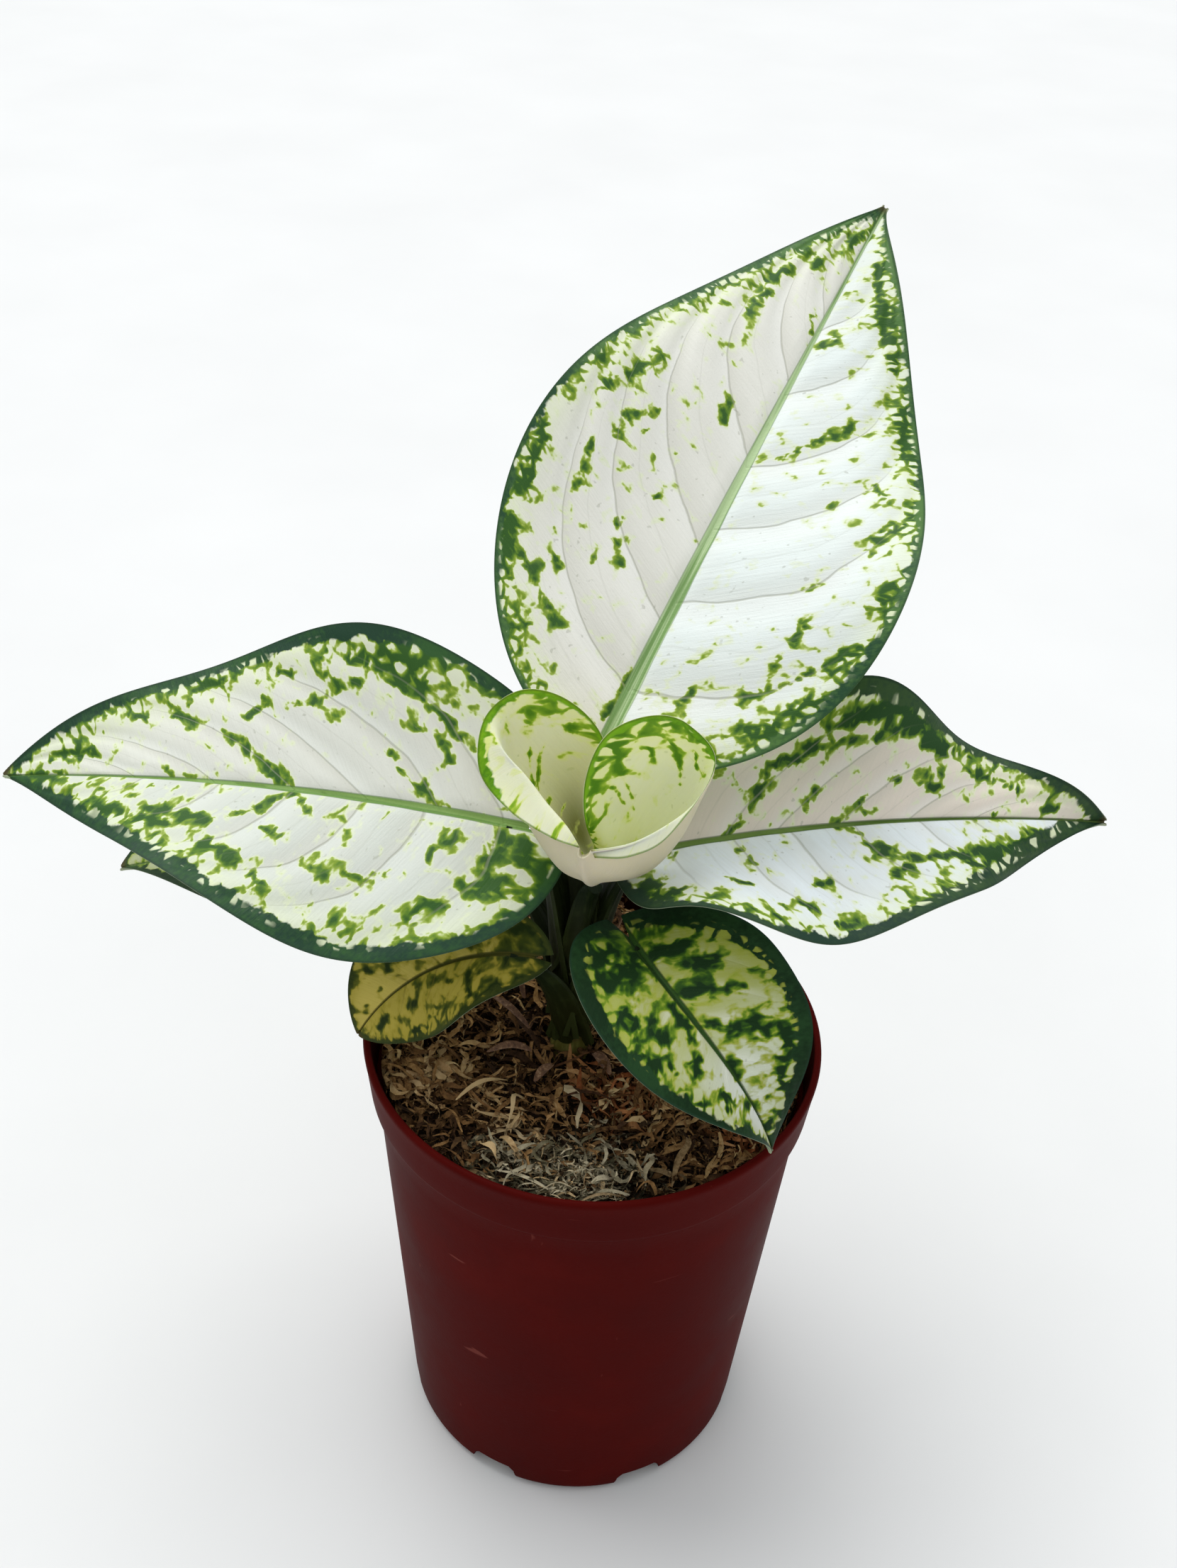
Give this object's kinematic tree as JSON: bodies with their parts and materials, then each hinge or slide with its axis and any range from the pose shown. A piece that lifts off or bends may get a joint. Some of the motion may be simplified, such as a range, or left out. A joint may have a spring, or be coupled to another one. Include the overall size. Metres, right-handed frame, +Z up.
{
  "type": "potted chinese evergreen",
  "caption": "Young chinese evergreen with broad white and green variegated leaves and one unfurling leaf, in a round reddish-brown plastic nursery pot topped with dry moss.",
  "frame": {"origin": "centre of the pot's flat underside, on the surface the pot stands on", "axes": "+Z up the pot's axis; -Y towards the low front leaf, the side the picture is taken from; +X towards the broad leaf that lies to the right in the picture"},
  "size_m": [0.235, 0.1619, 0.2602],
  "materials": {
    "pot_plastic": "satin moulded plastic, oxblood brown",
    "potting_mix": "damp fibrous peat mix, matt",
    "moss": "dry curled moss strands, matt tan and brown",
    "stem": "smooth living stem, satin olive green",
    "roots": "fleshy roots, matt cream",
    "leaf_white": "satin leaf, white with green midrib, speckles and margin",
    "leaf_dark": "satin leaf, dark green margin with a mottled yellow-green centre",
    "leaf_olive": "satin leaf, pale olive with dark green blotches",
    "leaf_young": "satin young leaf, cream with a bright green margin"
  },
  "bodies": {
    "root": {"pot": "pot_plastic", "potting_mix": "potting_mix", "moss": "moss", "stem": "stem", "roots": "roots", "leaf_tall_back": "leaf_white", "leaf_left": "leaf_white", "leaf_right": "leaf_white", "leaf_front_low": "leaf_dark", "leaf_left_low": "leaf_olive", "leaf_left_under": "leaf_dark", "leaf_unfurling": "leaf_young"}
  },
  "joints": []
}
